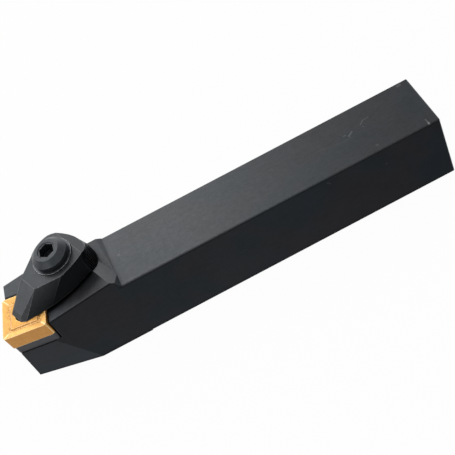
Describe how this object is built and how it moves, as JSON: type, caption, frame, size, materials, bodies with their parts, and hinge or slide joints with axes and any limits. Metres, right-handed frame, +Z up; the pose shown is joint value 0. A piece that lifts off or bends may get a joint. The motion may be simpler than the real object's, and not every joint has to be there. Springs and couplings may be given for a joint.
{
  "type": "turning tool holder",
  "caption": "Square-shank lathe turning tool holder with a tilted seat, an indexable square insert on a shim and a screw-down finger clamp.",
  "frame": {"origin": "on the shank's base face, in its middle plane, half way along the tool", "axes": "+X runs along the shank to the cutting tip, +Y is the side on which the tool cuts, +Z is up, from the base to the shank's top"},
  "size_m": [0.1268, 0.021, 0.0327],
  "materials": {
    "black_steel": "black oxide, satin",
    "clamp_steel": "black oxide, satin, edges worn bright",
    "carbide": "ground, dull grey",
    "gold_coating": "thin hard coating, satin",
    "screw_steel": "black oxide",
    "spring_steel": "bright wire"
  },
  "bodies": {
    "holder": {"holder_body": "black_steel", "shim": "carbide", "shim_screw": "screw_steel", "insert": "gold_coating", "clamp_spring": "spring_steel"},
    "clamp": {"clamp": "clamp_steel", "clamp_washer": "screw_steel"},
    "screw": {"clamp_screw": "screw_steel"}
  },
  "joints": [
    {"name": "clamp_lift", "type": "slide", "parent": "holder", "child": "clamp", "axis": [0.1279, 0.0734, 0.9891], "range_m": [0, 0.0025], "deforming": ["clamp_spring"]},
    {"name": "clamp_screw_turn", "type": "hinge", "parent": "clamp", "child": "screw", "pos_m": [0.0423, -0.00263, 0.02877], "axis": [0.1279, 0.0734, 0.9891], "range_deg": [0, 900.1]}
  ],
  "couplings": [
    {"joint": "clamp_screw_turn", "follows": "clamp_lift", "rad_per_m": 6283.2}
  ]
}
